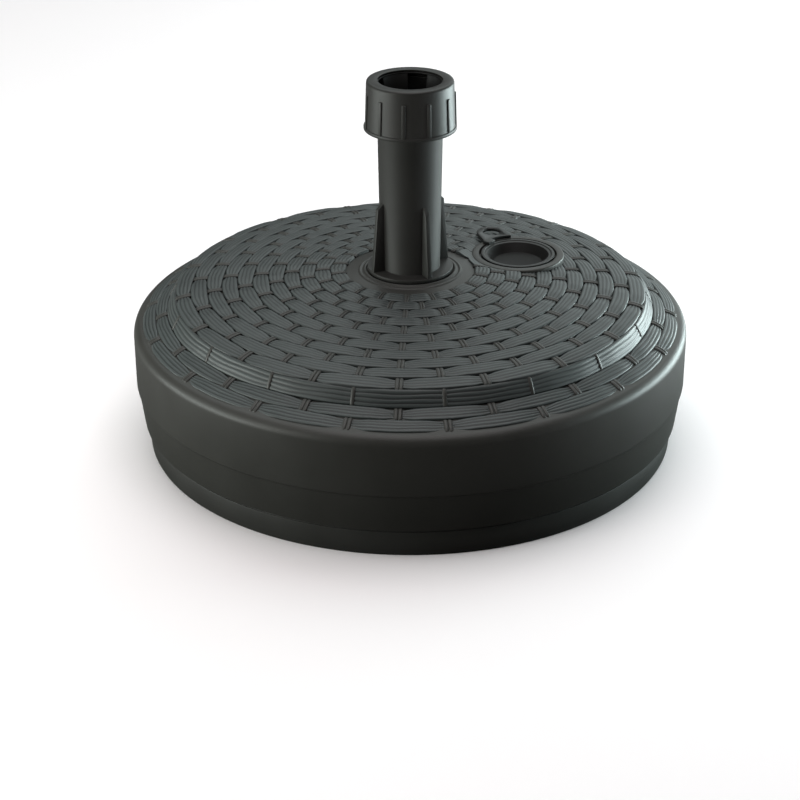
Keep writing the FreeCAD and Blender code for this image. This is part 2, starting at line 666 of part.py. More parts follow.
def on_recess(along, across):
    """A point of the tab's inner edge, which runs round the recess."""
    return (tab_inner * along, tab_inner * across)


def on_eye(along, across):
    """A point on the outside of the eye."""
    return (size.eye_along + size.eye_outer_radius * along,
            size.eye_outer_radius * across - size.eye_across)


tab_sketch = add_sketch(filler_plug, "tab_outline", "XY_Plane", tab_bottom)
draw_outline(tab_sketch, [
    (*on_recess(0.766, -0.643), on_recess(0.959, -0.284)),
    on_recess(0.9925, 0.122),
    (*on_eye(0.486, 0.874), on_eye(0.937, -0.349)),
    on_eye(-0.444, -0.896),
])
extrude(filler_plug, "pull_tab", tab_sketch, size.tab_thickness)
eye_sketch = add_sketch(filler_plug, "eye_circle", "XY_Plane", tab_bottom - 1.0)
draw_circle(eye_sketch, size.eye_along, -size.eye_across, size.eye_radius)
extrude(filler_plug, "eye", eye_sketch, size.tab_thickness + 2.0, "Pocket", down=True)
filler_plug.Placement = Placement(
    Vector(size.filler_x.value, size.filler_y.value, 0), Rotation(Vector(0, 0, 1), size.tab_angle.value)
)
filler_plug.setExpression("Placement.Base.x", size.filler_x.text)
filler_plug.setExpression("Placement.Base.y", size.filler_y.text)
filler_plug.setExpression("Placement.Rotation.Angle", size.tab_angle.text)

# ------------------------------------------------------------------ check every piece, then write it
doc.recompute()
for thing in doc.Objects:
    if "Invalid" in thing.State or "Error" in thing.State:
        raise RuntimeError(f"{thing.Name} failed: {thing.State}")
pieces = [
    cover_shell, tub_shell, rim_seal, well_seal, tube_seal, stand_tube, clamp_collet, clamp_nut, filler_plug,
]
for piece in pieces:
    shape = piece.Shape
    if shape.isNull() or not shape.isValid() or len(shape.Solids) != 1:
        raise RuntimeError(f"{piece.Label} isn't one sound solid")
    shape.exportStep(f"parts/{piece.Label}.step")
    box = shape.BoundBox
    print(f"{piece.Label}: {shape.Volume / 1000:.1f} cm3, z {box.ZMin:.2f} to {box.ZMax:.2f}")
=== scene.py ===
import math

import bmesh
import bpy
from mathutils import Matrix, Vector


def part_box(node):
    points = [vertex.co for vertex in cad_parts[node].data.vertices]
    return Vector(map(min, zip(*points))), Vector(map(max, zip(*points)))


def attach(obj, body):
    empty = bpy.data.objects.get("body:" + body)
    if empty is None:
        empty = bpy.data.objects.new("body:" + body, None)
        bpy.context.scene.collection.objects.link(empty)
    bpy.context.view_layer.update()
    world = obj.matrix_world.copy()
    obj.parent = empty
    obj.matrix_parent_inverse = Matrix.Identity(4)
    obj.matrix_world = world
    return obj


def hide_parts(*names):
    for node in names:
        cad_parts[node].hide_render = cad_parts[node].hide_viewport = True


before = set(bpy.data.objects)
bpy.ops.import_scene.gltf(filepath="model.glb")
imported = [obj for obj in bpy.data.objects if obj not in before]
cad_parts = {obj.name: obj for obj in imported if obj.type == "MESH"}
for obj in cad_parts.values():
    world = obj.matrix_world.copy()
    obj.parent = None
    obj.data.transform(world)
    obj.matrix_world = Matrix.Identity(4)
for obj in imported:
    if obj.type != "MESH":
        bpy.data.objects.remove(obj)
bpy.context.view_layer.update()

mm = 0.001
full_turn = 2 * math.pi

# ---------------------------------------------------------------- tub
# The lower shell: a shallow pan with an upright wall inside the cover and a well for the pole's
# end. It is one polypropylene moulding that stands on its outer ring and shows only below the cover.
def socket(group, name, kind, way, value=None):
    made = group.interface.new_socket(name=name, in_out=way, socket_type=kind)
    if value is not None:
        made.default_value = value


def moulded_surface_group():
    """Object position in; out come a tone mask, a wear mask, a roughness and a grain height."""
    group = bpy.data.node_groups.new("moulded_surface", "ShaderNodeTree")
    socket(group, "Grain size", "NodeSocketFloat", "INPUT", 900.0)
    socket(group, "Gloss patch size", "NodeSocketFloat", "INPUT", 22.0)
    socket(group, "Roughness", "NodeSocketFloat", "INPUT", 0.5)
    socket(group, "Roughness spread", "NodeSocketFloat", "INPUT", 0.12)
    socket(group, "Wear", "NodeSocketFloat", "INPUT", 0.5)
    socket(group, "Tone", "NodeSocketFloat", "OUTPUT")
    socket(group, "Wear mask", "NodeSocketFloat", "OUTPUT")
    socket(group, "Roughness", "NodeSocketFloat", "OUTPUT")
    socket(group, "Grain", "NodeSocketFloat", "OUTPUT")
    nodes, links = group.nodes, group.links
    inputs, outputs = nodes.new("NodeGroupInput"), nodes.new("NodeGroupOutput")
    place = nodes.new("ShaderNodeTexCoord").outputs["Object"]

    grain = nodes.new("ShaderNodeTexNoise")
    grain.inputs["Detail"].default_value = 3.0
    grain.inputs["Roughness"].default_value = 0.62
    links.new(place, grain.inputs["Vector"])
    links.new(inputs.outputs["Grain size"], grain.inputs["Scale"])
    links.new(grain.outputs["Fac"], outputs.inputs["Grain"])

    patch = nodes.new("ShaderNodeTexNoise")
    patch.inputs["Detail"].default_value = 4.0
    links.new(place, patch.inputs["Vector"])
    links.new(inputs.outputs["Gloss patch size"], patch.inputs["Scale"])
    links.new(patch.outputs["Fac"], outputs.inputs["Tone"])

    spread = nodes.new("ShaderNodeMath")
    spread.operation = "SUBTRACT"
    links.new(patch.outputs["Fac"], spread.inputs[0])
    spread.inputs[1].default_value = 0.5
    scaled = nodes.new("ShaderNodeMath")
    scaled.operation = "MULTIPLY_ADD"
    links.new(spread.outputs[0], scaled.inputs[0])
    links.new(inputs.outputs["Roughness spread"], scaled.inputs[1])
    links.new(inputs.outputs["Roughness"], scaled.inputs[2])
    links.new(scaled.outputs[0], outputs.inputs["Roughness"])

    corner = nodes.new("ShaderNodeNewGeometry")
    sharp = nodes.new("ShaderNodeMapRange")
    sharp.inputs["From Min"].default_value = 0.52
    sharp.inputs["From Max"].default_value = 0.62
    links.new(corner.outputs["Pointiness"], sharp.inputs["Value"])
    rubbed = nodes.new("ShaderNodeMath")
    rubbed.operation = "MULTIPLY"
    links.new(sharp.outputs["Result"], rubbed.inputs[0])
    links.new(patch.outputs["Fac"], rubbed.inputs[1])
    amount = nodes.new("ShaderNodeMath")
    amount.operation = "MULTIPLY"
    links.new(rubbed.outputs[0], amount.inputs[0])
    links.new(inputs.outputs["Wear"], amount.inputs[1])
    links.new(amount.outputs[0], outputs.inputs["Wear mask"])
    return group


moulded_surface = moulded_surface_group()


def moulded_plastic(name, dark, light, worn, rough, grain_size, grain_depth,
                    wear=0.5, spread=0.12, specular=0.5):
    """Dyed plastic from a spark-eroded tool: a fine grain, an uneven gloss and rubbed corners.

    The tone drifts between dark and light, and corners lean towards worn.
    """
    material = bpy.data.materials.new(name)
    material.use_nodes = True
    nodes, links = material.node_tree.nodes, material.node_tree.links
    shader = nodes["Principled BSDF"]
    shader.inputs["IOR"].default_value = 1.49
    shader.inputs["Specular IOR Level"].default_value = specular
    surface = nodes.new("ShaderNodeGroup")
    surface.node_tree = moulded_surface
    surface.inputs["Grain size"].default_value = grain_size
    surface.inputs["Roughness"].default_value = rough
    surface.inputs["Roughness spread"].default_value = spread
    surface.inputs["Wear"].default_value = wear
    tone = nodes.new("ShaderNodeMix")
    tone.data_type = "RGBA"
    tone.inputs["A"].default_value = (*dark, 1)
    tone.inputs["B"].default_value = (*light, 1)
    links.new(surface.outputs["Tone"], tone.inputs["Factor"])
    rub = nodes.new("ShaderNodeMix")
    rub.data_type = "RGBA"
    rub.inputs["B"].default_value = (*worn, 1)
    links.new(surface.outputs["Wear mask"], rub.inputs["Factor"])
    links.new(tone.outputs["Result"], rub.inputs["A"])
    links.new(rub.outputs["Result"], shader.inputs["Base Color"])
    links.new(surface.outputs["Roughness"], shader.inputs["Roughness"])
    bump = nodes.new("ShaderNodeBump")
    bump.inputs["Strength"].default_value = 0.6
    bump.inputs["Distance"].default_value = grain_depth
    links.new(surface.outputs["Grain"], bump.inputs["Height"])
    links.new(bump.outputs["Normal"], shader.inputs["Normal"])
    return material


tub_plastic = moulded_plastic(
    "tub_anthracite", (0.028, 0.0275, 0.0255), (0.040, 0.0395, 0.037), (0.075, 0.076, 0.072),
    rough=0.50, grain_size=1100.0, grain_depth=0.12 * mm, specular=0.3,
)


def ring_mesh(outline, steps, centre=(0.0, 0.0)):
    """A closed (radius, height) outline turned once round an upright axis."""
    mesh = bmesh.new()
    corners = [mesh.verts.new((radius, 0.0, height)) for radius, height in outline]
    edges = [mesh.edges.new(pair) for pair in zip(corners, corners[1:] + corners[:1])]
    bmesh.ops.spin(mesh, geom=corners + edges, cent=(0, 0, 0), axis=(0, 0, 1), angle=full_turn,
                   steps=steps, use_merge=True)
    bmesh.ops.remove_doubles(mesh, verts=mesh.verts, dist=1e-6)
    bmesh.ops.recalc_face_normals(mesh, faces=mesh.faces)
    bmesh.ops.translate(mesh, vec=(*centre, 0.0), verts=mesh.verts)
    return mesh


def soften_corners(mesh, width, segments=3, least=math.radians(24)):
    """Rounds every edge that turns by more than the least angle, as a moulding tool does."""
    sharp = [edge for edge in mesh.edges if edge.is_manifold and edge.calc_face_angle() > least]
    bmesh.ops.bevel(mesh, geom=sharp, offset=width, offset_type="OFFSET", affect="EDGES",
                    segments=segments, profile=0.5, material=-1, clamp_overlap=True)


def finished(mesh, name, material, crease=math.radians(32)):
    """Turns a bmesh into an object, smooth except over edges sharper than the crease."""
    for face in mesh.faces:
        face.smooth = True
    for edge in mesh.edges:
        edge.smooth = edge.is_manifold and edge.calc_face_angle() < crease
    data = bpy.data.meshes.new(name)
    mesh.to_mesh(data)
    mesh.free()
    piece = bpy.data.objects.new(name, data)
    bpy.context.scene.collection.objects.link(piece)
    data.materials.append(material)
    return piece


tub_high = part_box("tub_shell")[1]
foot_edge = tub_high.x
foot_top = 23.0 * mm
floor_lift = 4.0 * mm
tub_wall = 3.5 * mm
spigot = foot_edge - 1.1 * mm
spigot_top = 52.0 * mm
groove_depth = 1.6 * mm
groove_low = 38.0 * mm
groove_high = 42.0 * mm
well_rim = tub_high.z
well_floor = 8.0 * mm
drain = 4.0 * mm
pole_socket = 24.8 * mm
socket_top = 54.0 * mm
barrel_well = 30.4 * mm
barrel_well_foot = 62.0 * mm
well_wall = 4.2 * mm
well_head = 39.0 * mm
tub_mesh = ring_mesh([
    (drain, floor_lift), (foot_edge - 13.5 * mm, floor_lift), (foot_edge - 13.5 * mm, 0.0),
    (foot_edge - 2.6 * mm, 0.0), (foot_edge - 1.6 * mm, 2.0 * mm), (foot_edge, foot_top),
    (spigot, foot_top), (spigot, groove_low), (spigot - groove_depth, groove_low),
    (spigot - groove_depth, groove_high), (spigot, groove_high), (spigot, spigot_top),
    (spigot - tub_wall, spigot_top), (spigot - tub_wall, floor_lift + tub_wall),
    (pole_socket + well_wall, floor_lift + tub_wall), (pole_socket + well_wall, socket_top),
    (barrel_well + well_wall, barrel_well_foot), (barrel_well + well_wall, well_rim - 8.8 * mm),
    (well_head, well_rim - 4.4 * mm), (well_head, well_rim), (barrel_well, well_rim),
    (barrel_well, barrel_well_foot), (pole_socket, socket_top), (pole_socket, well_floor),
    (drain, well_floor),
], steps=240)
soften_corners(tub_mesh, 0.6 * mm, segments=2)
floor_ribs = 12
for count in range(floor_ribs):
    rib = bmesh.ops.create_cube(tub_mesh, size=1.0)["verts"]
    bmesh.ops.scale(tub_mesh, vec=(190.0 * mm, 3.0 * mm, 4.0 * mm), verts=rib)
    bmesh.ops.translate(tub_mesh, vec=(132.0 * mm, 0.0, 3.0 * mm), verts=rib)
    bmesh.ops.rotate(tub_mesh, cent=(0, 0, 0), matrix=Matrix.Rotation(full_turn * count / floor_ribs, 3, "Z"),
                     verts=rib)


def add_thread(mesh, wall, rise, base, pitch, turns, steps=48):
    """One right-hand ridge on a round wall, drawn as a section and spun upwards."""
    foot = pitch * 0.2
    crest = pitch * 0.1
    root = wall - math.copysign(0.4 * mm, rise)
    corners = [mesh.verts.new((radius, 0.0, height)) for radius, height in (
        (root, base - foot), (wall + rise, base - crest), (wall + rise, base + crest), (root, base + foot))]
    section = mesh.faces.new(corners)
    before = set(mesh.faces)
    count = round(steps * turns)
    bmesh.ops.spin(mesh, geom=[section, *section.edges, *section.verts], cent=(0, 0, 0), axis=(0, 0, 1),
                   dvec=(0, 0, pitch * turns / count), angle=full_turn * turns, steps=count)
    ridge = [face for face in mesh.faces if face not in before or face is section]
    bmesh.ops.recalc_face_normals(mesh, faces=ridge)


stand_pitch = 6.0 * mm
thread_rise = 1.8 * mm
barrel_thread_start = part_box("stand_tube")[0].z + 8.0 * mm
barrel_turns = 5
add_thread(tub_mesh, barrel_well, -thread_rise, barrel_thread_start + stand_pitch / 2, stand_pitch,
           barrel_turns)
tub = finished(tub_mesh, "tub", tub_plastic)
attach(tub, "base")
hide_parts("tub_shell")

# ---------------------------------------------------------------- seals
# Three black rubber rings: one squeezed between the two shells, one on top of the pole well,
# and a thin one under the stand tube's flange. They are cut or moulded flat and pushed in place.
seal_rubber = moulded_plastic(
    "seal_rubber", (0.006, 0.006, 0.006), (0.011, 0.011, 0.011), (0.02, 0.02, 0.02),
    rough=0.75, grain_size=700.0, grain_depth=0.08 * mm, wear=0.2, spread=0.08,
)
for node in ("rim_seal", "well_seal", "tube_seal"):
    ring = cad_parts[node]
    ring.data.materials.clear()
    ring.data.materials.append(seal_rubber)

# ---------------------------------------------------------------- cover body
# The upper shell without its relief: the flat seat with two fine ridges, the dome under the
# weave, the rolled edge and the side wall that hangs over the tub. One injection moulding.
cover_plastic = moulded_plastic(
    "cover_anthracite", (0.031, 0.0305, 0.0275), (0.044, 0.0435, 0.040), (0.085, 0.086, 0.082),
    rough=0.44, grain_size=1000.0, grain_depth=0.10 * mm, specular=0.32,
)
edge_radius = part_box("cover_shell")[1].x
seat_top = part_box("tube_seal")[0].z - 0.3 * mm
cover_wall = 3.5 * mm
skirt_low = 26.0 * mm
weave_inner = 58.0 * mm
shoulder = edge_radius - 39.0 * mm
dome_drop = 17.4 * mm
dome_rows = 11


def dome_height(radius):
    """Height of the valleys between woven rows: a slow fall that steepens at the shoulder."""
    share = max(0.0, (radius - weave_inner) / (shoulder - weave_inner))
    return seat_top - dome_drop * (0.83 * share + 0.17 * share ** 12)


strip_foot = (shoulder + 7.75 * mm, dome_height(shoulder) - 13.2 * mm)
ledge_end = (edge_radius - 9.0 * mm, strip_foot[1] - 10.9 * mm)
under_weave = 1.6 * mm
boss_centre = Vector((98.95 * mm, 42.2 * mm))
boss_top = seat_top - 1.6 * mm
boss_edge = 42.5 * mm


def settle_round_boss(mesh, drop):
    """Presses the dome down to the boss ring where the dome would stand above it."""
    for vert in mesh.verts:
        away = (vert.co.xy - boss_centre).length
        ceiling = boss_top - drop + max(0.0, away - boss_edge) * 0.30
        if vert.co.z > ceiling and vert.co.z > boss_top - 12 * mm:
            vert.co.z = ceiling


def arc_points(centre, radius, start, stop, count):
    """Points along an arc in the outline's plane; angles in degrees from outwards to upwards."""
    angles = [math.radians(start + (stop - start) * step / count) for step in range(count + 1)]
    return [(centre[0] + radius * math.cos(a), centre[1] + radius * math.sin(a)) for a in angles]


dome_outline = [(weave_inner + (shoulder - weave_inner) * step / 22) for step in range(23)]
seat_hole = 30.6 * mm
outside = [
    (seat_hole, seat_top), (39.0 * mm, seat_top),
    (39.4 * mm, seat_top + 1.2 * mm), (40.4 * mm, seat_top + 1.8 * mm),
    (41.4 * mm, seat_top + 1.5 * mm), (42.4 * mm, seat_top + 0.2 * mm), (43.6 * mm, seat_top - 0.1 * mm),
    (44.3 * mm, seat_top + 0.6 * mm), (45.2 * mm, seat_top + 0.8 * mm), (46.0 * mm, seat_top + 0.4 * mm),
    (46.7 * mm, seat_top - 0.5 * mm), (56.5 * mm, seat_top - 1.1 * mm),
]
outside += [(radius, dome_height(radius) - under_weave) for radius in dome_outline]
outside += [(strip_foot[0] - under_weave, strip_foot[1] - 0.4 * mm)]
outside += arc_points((ledge_end[0] - 0.4 * mm, ledge_end[1] - 9.4 * mm), 9.4 * mm, 82, 0, 12)
outside += [
    (edge_radius, 61.2 * mm), (edge_radius - 1.2 * mm, 59.6 * mm), (edge_radius - 5.4 * mm, skirt_low),
]
inside = [
    (edge_radius - 5.4 * mm - cover_wall, skirt_low), (edge_radius - 1.2 * mm - cover_wall, 60.0 * mm),
    (edge_radius - cover_wall, 61.2 * mm), (edge_radius - cover_wall, ledge_end[1] - 9.0 * mm),
    (ledge_end[0] - 1.2 * mm, ledge_end[1] - 4.5 * mm),
    (strip_foot[0] - 2.6 * mm, strip_foot[1] - 4.5 * mm),
]
inside += [(radius - 1.0 * mm, dome_height(radius) - 4.5 * mm) for radius in reversed(dome_outline)]
inside += [(seat_hole, seat_top - cover_wall)]
cover_mesh = ring_mesh(outside + inside, steps=288)
soften_corners(cover_mesh, 0.5 * mm, segments=2, least=math.radians(28))
settle_round_boss(cover_mesh, 1.2 * mm)
cover = finished(cover_mesh, "cover", cover_plastic)


def combine(piece, other, operation):
    """Welds another solid to the piece, or cuts it out of the piece."""
    step = piece.modifiers.new("combine", "BOOLEAN")
    step.operation = operation
    step.solver = "MANIFOLD"
    step.object = other
    shape = bpy.context.evaluated_depsgraph_get()
    shape.update()
    result = bpy.data.meshes.new_from_object(piece.evaluated_get(shape))
    piece.modifiers.clear()
    piece.data = result
    bpy.data.objects.remove(other)


def cut_round_hole(piece, radius, low=100 * mm, high=200 * mm):
    """Drills the piece from above at the filler, through its whole thickness."""
    drill_mesh = bmesh.new()
    bmesh.ops.create_cone(drill_mesh, cap_ends=True, segments=96, radius1=radius, radius2=radius,
                          depth=high - low, matrix=Matrix.Translation((*boss_centre, (low + high) / 2)))
    combine(piece, finished(drill_mesh, "drill", cover_plastic), "DIFFERENCE")


cut_round_hole(cover, 38.0 * mm)
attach(cover, "base")
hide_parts("cover_shell")

# ---------------------------------------------------------------- woven rows
# The relief copies a basket: each row is a bundle of fine strands that dips under every second
# stake and swells over the one between, and the next row does the opposite. It is moulded on.
# Painted sheen: the bundles are the same plastic as the cover, but their colour is set lighter and bluer than
# the cover's to stand in for the sheen of the lights on their tops.
weave_painted_sheen = moulded_plastic(
    "woven_anthracite_painted_sheen", (0.038, 0.0445, 0.044), (0.060, 0.070, 0.069), (0.14, 0.163, 0.163),
    rough=0.46, grain_size=1400.0, grain_depth=0.08 * mm, wear=0.8, specular=0.4,
)
weave_nodes, weave_links = weave_painted_sheen.node_tree.nodes, weave_painted_sheen.node_tree.links
strand_place = weave_nodes.new("ShaderNodeAttribute")
strand_place.attribute_name = "place_in_row"
strand_parts = weave_nodes.new("ShaderNodeSeparateXYZ")
weave_links.new(strand_place.outputs["Vector"], strand_parts.inputs["Vector"])
# Painted shade: the base colour is multiplied down to 0.34 towards the valleys between the strands, standing
# in for the shade that falls in the creases of each bundle.
groove = weave_nodes.new("ShaderNodeMapRange")
groove.inputs["From Min"].default_value = 0.15
groove.inputs["From Max"].default_value = 0.85
groove.inputs["To Min"].default_value = 0.34
weave_links.new(strand_parts.outputs["Z"], groove.inputs["Value"])
painted_groove_shade = weave_nodes.new("ShaderNodeMix")
painted_groove_shade.data_type = "RGBA"
painted_groove_shade.blend_type = "MULTIPLY"
painted_groove_shade.inputs["Factor"].default_value = 1.0
weave_shader = weave_nodes["Principled BSDF"]
weave_links.new(weave_shader.inputs["Base Color"].links[0].from_socket, painted_groove_shade.inputs["A"])
weave_links.new(groove.outputs["Result"], painted_groove_shade.inputs["B"])
weave_links.new(painted_groove_shade.outputs["Result"], weave_shader.inputs["Base Color"])
stake_count = 18
stake_turn = full_turn / stake_count
stake_phase = math.radians(-92.5)
valleys = [weave_inner + (shoulder - weave_inner) * step / dome_rows for step in range(dome_rows + 1)]
row_ends = [((a, dome_height(a)), (b, dome_height(b))) for a, b in zip(valleys, valleys[1:])]
ledge_middle = ((strip_foot[0] + ledge_end[0]) / 2, (strip_foot[1] + ledge_end[1]) / 2)
row_ends += [(row_ends[-1][1], strip_foot), (strip_foot, ledge_middle), (ledge_middle, ledge_end)]


def row_frame(start, stop):
    """Middle, unit vector across the row, unit normal and half width, in the radius-height plane."""
    across = Vector((stop[0] - start[0], stop[1] - start[1]))
    half = across.length / 2
    across.normalize()
    middle = Vector(((start[0] + stop[0]) / 2, (start[1] + stop[1]) / 2))
    return middle, across, Vector((-across.y, across.x)), half


def smooth_share(value):
    value = min(1.0, max(0.0, value))
    return value * value * (3 - 2 * value)


def bundle_width(swell):
    """Share of the row's width that the bundle fills: pinched at a stake, full soon after it."""
    return 0.70 + 0.27 * smooth_share((swell - 0.04) / 0.34) + 0.04 * smooth_share((swell - 0.4) / 0.6)


def bundle_lift(swell, depth):
    """Height of the bundle: low where a stake crosses it, high over the hidden stake."""
    return depth * (smooth_share((swell - 0.05) / 0.55) * 1.9 - 0.9)


def woven_row(index, start, stop, strands, depth, pinch):
    """One whole row, spun as a flat band of half-round strands and then worked over the stakes."""
    middle, across, normal, half = row_frame(start, stop)
    samples = strands * 4
    outline = []
    for step in range(samples + 1):
        share = 2 * step / samples - 1
        outline.append((share, abs(math.sin(math.pi * strands * (share + 1) / 2)) ** 0.7))
    mesh = bmesh.new()
    marks = mesh.verts.layers.float_vector.new("place_in_row")
    top = [mesh.verts.new((share, 0.0, bump)) for share, bump in outline]
    bed = [mesh.verts.new((share, 0.0, -2.0)) for share in (1.0, -1.0)]
    loop = top + bed
    edges = [mesh.edges.new(pair) for pair in zip(loop, loop[1:] + loop[:1])]
    for vert in loop:
        vert[marks] = vert.co
        vert.co = (middle.x + vert.co.x * half, 0.0, vert.co.z)
    bmesh.ops.spin(mesh, geom=loop + edges, cent=(0, 0, 0), axis=(0, 0, 1), angle=full_turn, steps=504,
                   use_merge=True)
    phase = stake_phase + (stake_turn / 2 if index % 2 else 0.0)
    for vert in mesh.verts:
        share, bump = vert[marks].x, vert[marks].z
        turn = math.atan2(vert.co.y, vert.co.x)
        place = (turn - phase) / stake_turn
        swell = abs((place + 0.5) % 1.0 - 0.5) * 2
        hand = math.sin(7.9 * index + 4.3 * (math.floor(place) % stake_count))
        width = (1 + (bundle_width(swell) - 1) * pinch) * (1 + 0.025 * hand)
        lift = bundle_lift(swell, depth) + 0.45 * mm * (1 - share * share) + 0.12 * mm * hand * swell
        wander = 0.05 * math.sin(2.6 * hand + 9.0 * place + 2.0 * share) * (1 - share * share)
        height = lift + (0.55 * mm * bump if bump >= 0 else bump * 1.4 * mm - lift)
        spot = middle + across * ((share + wander) * half * width) + normal * height
        vert.co = (spot.x * math.cos(turn), spot.x * math.sin(turn), spot.y)
    bmesh.ops.recalc_face_normals(mesh, faces=mesh.faces)
    settle_round_boss(mesh, 0.5 * mm)
    return mesh


for index, (start, stop) in enumerate(row_ends):
    on_strip = index == dome_rows
    row_mesh = woven_row(index, start, stop, strands=4, depth=(0.3 if on_strip else 0.65) * mm,
                         pinch=0.15 if on_strip else 1.0)
    row = finished(row_mesh, f"woven_row_{index + 1:02d}", weave_painted_sheen, crease=math.radians(75))
    if start[0] < boss_centre.length + boss_edge and stop[0] > boss_centre.length - boss_edge:
        cut_round_hole(row, 39.5 * mm)
    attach(row, "base")
    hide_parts("cover_shell")

# ---------------------------------------------------------------- stakes
# The upright rods of the basket look: a pair of fine ribs lies over the pinch of every bundle,
# and a single stout bar on the steep strip. They are part of the cover's moulding.
def add_rod(mesh, stations):
    """A rod skinned over stations of (middle, sideways, upward); both vectors carry its half sizes."""
    rings = []
    for middle, sideways, upward in stations:
        angles = [full_turn * corner / 8 for corner in range(8)]
        rings.append([mesh.verts.new(middle + sideways * math.cos(a) + upward * math.sin(a)) for a in angles])
    for ring, following in zip(rings, rings[1:]):
        for a, b, c, d in zip(ring, ring[1:] + ring[:1], following[1:] + following[:1], following):
            mesh.faces.new((a, b, c, d))
    mesh.faces.new(rings[0][::-1])
    mesh.faces.new(rings[-1])


stake_mesh = bmesh.new()
for index, (start, stop) in enumerate(row_ends):
    middle, across, normal, half = row_frame(start, stop)
    on_strip = index == dome_rows
    rib_half = 2.0 * mm if on_strip else 0.80 * mm + 0.0050 * middle.x
    offsets = (0.0,) if on_strip else (-rib_half * 0.88, rib_half * 0.88)
    phase = stake_phase + (stake_turn / 2 if index % 2 else 0.0)
    for count in range(stake_count):
        turn = phase + stake_turn * count
        outward = Vector((math.cos(turn), math.sin(turn), 0.0))
        sideways = Vector((-outward.y, outward.x, 0.0))
        upward = outward * normal.x + Vector((0.0, 0.0, normal.y))
        along = outward * across.x + Vector((0.0, 0.0, across.y))
        centre = outward * middle.x + Vector((0.0, 0.0, middle.y))
        if (centre.xy - boss_centre).length < boss_edge + half * 0.4:
            continue
        for offset in offsets:
            stations = []
            for share in (-1.12, -1.05, -0.8, -0.4, 0.0, 0.4, 0.8, 1.05, 1.12):
                plump = 0.35 if abs(share) > 1.1 else 0.8 if abs(share) > 1.0 else 1.0
                rise = (0.25 - 0.75 * share ** 4) * mm
                stations.append((centre + along * (share * half) + sideways * offset + upward * rise,
                                 sideways * (rib_half * plump), upward * (1.1 * mm * plump)))
            add_rod(stake_mesh, stations)
bmesh.ops.recalc_face_normals(stake_mesh, faces=stake_mesh.faces)
settle_round_boss(stake_mesh, 0.2 * mm)
stakes = finished(stake_mesh, "stakes", cover_plastic, crease=math.radians(75))
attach(stakes, "base")
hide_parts("cover_shell")

# ---------------------------------------------------------------- filler boss
# A plain smooth ring stands out of the weave round the filler hole. Its recess takes the plug's
# rim, and a short neck below it reaches into the tank. It belongs to the cover's moulding.
boss_mesh = ring_mesh(
    [(32.0 * mm, boss_top - 17 * mm), (35.0 * mm, boss_top - 17 * mm), (35.0 * mm, boss_top - 11 * mm),
     (boss_edge, boss_top - 11 * mm)]
    + arc_points((boss_edge - 1.6 * mm, boss_top - 1.6 * mm), 1.6 * mm, 0, 90, 6)
    + [(35.7 * mm, boss_top), (35.7 * mm, boss_top - 5 * mm), (32.0 * mm, boss_top - 5 * mm)],
    steps=128, centre=boss_centre)
soften_corners(boss_mesh, 0.5 * mm, segments=3, least=math.radians(50))
boss = finished(boss_mesh, "filler_boss", cover_plastic)
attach(boss, "base")
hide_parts("cover_shell")

# ---------------------------------------------------------------- stand tube
# One stout moulding: a threaded barrel below, a round flange, a tube that widens slightly
# upwards with four gussets at its foot, and a threaded head whose mouth squeezes the collet.
stand_plastic = moulded_plastic(
    "stand_anthracite", (0.024, 0.0235, 0.0215), (0.034, 0.0335, 0.0315), (0.07, 0.072, 0.070),
    rough=0.44, grain_size=1200.0, grain_depth=0.06 * mm, specular=0.27,
)
stand_low, stand_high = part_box("stand_tube")
pole_bore = 24.4 * mm
flange_edge = 38.3 * mm
flange_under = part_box("tube_seal")[1].z + 0.3 * mm
flange_top = flange_under + 3.0 * mm
mouth = stand_high.z
barrel = 28.0 * mm
tube_foot = pole_bore + 2.35 * mm
tube_head = pole_bore + 4.3 * mm
head_root = pole_bore + 7.4 * mm
mouth_depth = 28 * mm
stand_mesh = ring_mesh([
    (pole_bore, stand_low.z), (barrel, stand_low.z), (barrel, flange_under),
    (flange_edge, flange_under), (flange_edge, flange_top), (tube_foot, flange_top),
    (tube_head, mouth - 35.1 * mm), (head_root, mouth - 32.0 * mm),
    (head_root, mouth), (pole_bore + 5.4 * mm, mouth), (pole_bore + 2.8 * mm, mouth - mouth_depth),
    (pole_bore, mouth - mouth_depth),
], steps=128)
soften_corners(stand_mesh, 0.45 * mm, segments=3, least=math.radians(40))
gusset_half = 2.25 * mm
for count in range(4):
    gusset = bmesh.new()
    corners = [
        (pole_bore + 1.2 * mm, flange_top - 1.5 * mm), (flange_edge - 0.2 * mm, flange_top - 1.5 * mm),
        (flange_edge - 0.5 * mm, flange_top + 1.0 * mm), (flange_edge - 5.1 * mm, flange_top + 58 * mm),
        (pole_bore + 1.2 * mm, flange_top + 65.5 * mm),
    ]
    face = gusset.faces.new([gusset.verts.new((x, -gusset_half, z)) for x, z in corners])
    grown = bmesh.ops.extrude_face_region(gusset, geom=[face])["geom"]
    bmesh.ops.translate(gusset, vec=(0, gusset_half * 2, 0),
                        verts=[item for item in grown if isinstance(item, bmesh.types.BMVert)])
    bmesh.ops.recalc_face_normals(gusset, faces=gusset.faces)
    soften_corners(gusset, 0.45 * mm, segments=2)
    bmesh.ops.rotate(gusset, cent=(0, 0, 0), verts=gusset.verts,
                     matrix=Matrix.Rotation(math.radians(28) + full_turn * count / 4, 3, "Z"))
    spare = bpy.data.meshes.new("gusset")
    gusset.to_mesh(spare)
    gusset.free()
    stand_mesh.from_mesh(spare)
    bpy.data.meshes.remove(spare)
nut_pitch = 5.0 * mm
head_thread_start = mouth - 27.0 * mm
head_turns = 4.4
add_thread(stand_mesh, barrel, thread_rise, barrel_thread_start, stand_pitch, barrel_turns)
add_thread(stand_mesh, head_root, thread_rise, head_thread_start, nut_pitch, head_turns)
stand = finished(stand_mesh, "stand", stand_plastic)
